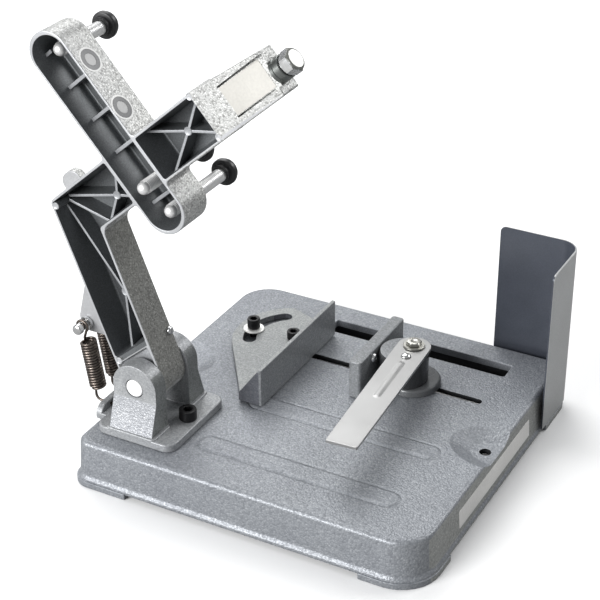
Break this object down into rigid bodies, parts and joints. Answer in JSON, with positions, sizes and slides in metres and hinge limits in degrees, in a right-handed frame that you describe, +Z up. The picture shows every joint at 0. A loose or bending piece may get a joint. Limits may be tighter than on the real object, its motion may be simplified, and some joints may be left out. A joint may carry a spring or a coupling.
{
  "type": "angle grinder stand",
  "caption": "Bench stand for an angle grinder: pressed base with disc slot, swivel fence and lever vise, a sprung swing arm with adjustable supports, and a bent spark guard.",
  "frame": {"origin": "under the middle of the stand's box, on the surface that the feet stand on", "axes": "+Z up, +X from the pivot end of the base towards the operator's end, +Y across the base from the swing arm to the spark guard"},
  "size_m": [0.3076, 0.2678, 0.3337],
  "materials": {
    "hammered_paint": "hammered silver-grey paint",
    "arm_paint": "hammered grey paint on a casting",
    "guard_paint": "smooth grey paint on sheet",
    "bright_steel": "bright drawn steel",
    "spring_steel": "dark oiled spring wire",
    "zinc_steel": "zinc plated",
    "black_oxide": "black oxide",
    "black_plastic": "satin moulded",
    "dark_cast": "dark enamel on cast iron"
  },
  "bodies": {
    "stand": {"base_pan": "hammered_paint", "pivot_bracket": "hammered_paint", "bracket_screw_front": "black_oxide", "bracket_screw_rear": "black_oxide", "bracket_nut_front": "zinc_steel", "bracket_nut_rear": "zinc_steel", "pivot_pin": "bright_steel", "return_spring_near": "spring_steel", "return_spring_far": "spring_steel", "fence_clamp_screw": "black_oxide", "fence_clamp_washer": "zinc_steel", "fence_pivot_screw": "black_oxide", "fence_nut_clamp": "zinc_steel", "fence_nut_pivot": "zinc_steel", "spark_guard": "guard_paint", "guard_screw_inner": "zinc_steel", "guard_screw_outer": "zinc_steel", "guard_nut_inner": "zinc_steel", "guard_nut_outer": "zinc_steel"},
    "arm": {"swing_arm": "arm_paint", "stop_screw": "zinc_steel", "spring_post": "zinc_steel", "stud_nut_upper": "zinc_steel", "stud_nut_middle": "zinc_steel", "stud_nut_lower": "zinc_steel", "grinder_bolt": "zinc_steel", "bolt_spacer": "black_oxide"},
    "support_upper": {"support_stud_upper": "zinc_steel", "support_knob_upper": "black_plastic"},
    "support_middle": {"support_stud_middle": "zinc_steel", "support_knob_middle": "black_plastic"},
    "support_lower": {"support_stud_lower": "zinc_steel", "support_knob_lower": "black_plastic"},
    "fence": {"fence": "hammered_paint"},
    "vise": {"clamp_base": "dark_cast", "clamp_bolt": "zinc_steel", "clamp_washer": "zinc_steel", "clamp_nut": "zinc_steel"},
    "lever": {"clamp_lever": "bright_steel", "cam_drum": "dark_cast", "lever_rivet": "zinc_steel"},
    "jaw": {"vise_jaw": "hammered_paint", "jaw_screw": "zinc_steel"}
  },
  "joints": [
    {"name": "arm_swing", "type": "hinge", "parent": "stand", "child": "arm", "pos_m": [-0.07901, -0.07795, 0.074], "axis": [0, 1, 0], "range_deg": [0, 55], "stiffness_Nm_per_rad": 2, "springref_deg": -20.05, "deforming": ["return_spring_near", "return_spring_far"]},
    {"name": "support_upper_slide", "type": "slide", "parent": "arm", "child": "support_upper", "axis": [0, 1, 0], "range_m": [-0.022, 0.012]},
    {"name": "support_middle_slide", "type": "slide", "parent": "arm", "child": "support_middle", "axis": [0, 1, 0], "range_m": [-0.028, 0.024]},
    {"name": "support_lower_slide", "type": "slide", "parent": "arm", "child": "support_lower", "axis": [0, 1, 0], "range_m": [-0.032, 0.017]},
    {"name": "fence_swivel", "type": "hinge", "parent": "stand", "child": "fence", "pos_m": [-0.04151, 0.05355, 0.0365], "axis": [0, 0, 1], "range_deg": [-15, 30]},
    {"name": "vise_slide", "type": "slide", "parent": "stand", "child": "vise", "axis": [1, 0, 0], "range_m": [-0.012, 0.043]},
    {"name": "lever_turn", "type": "hinge", "parent": "vise", "child": "lever", "pos_m": [0.06149, 0.04655, 0.0646], "axis": [0, 0, 1], "range_deg": [-10, 45]},
    {"name": "jaw_slide", "type": "slide", "parent": "vise", "child": "jaw", "axis": [1, 0, 0], "range_m": [-0.0008, 0.0033]}
  ],
  "couplings": [
    {"joint": "jaw_slide", "follows": "lever_turn", "m_per_rad": 0.004}
  ]
}
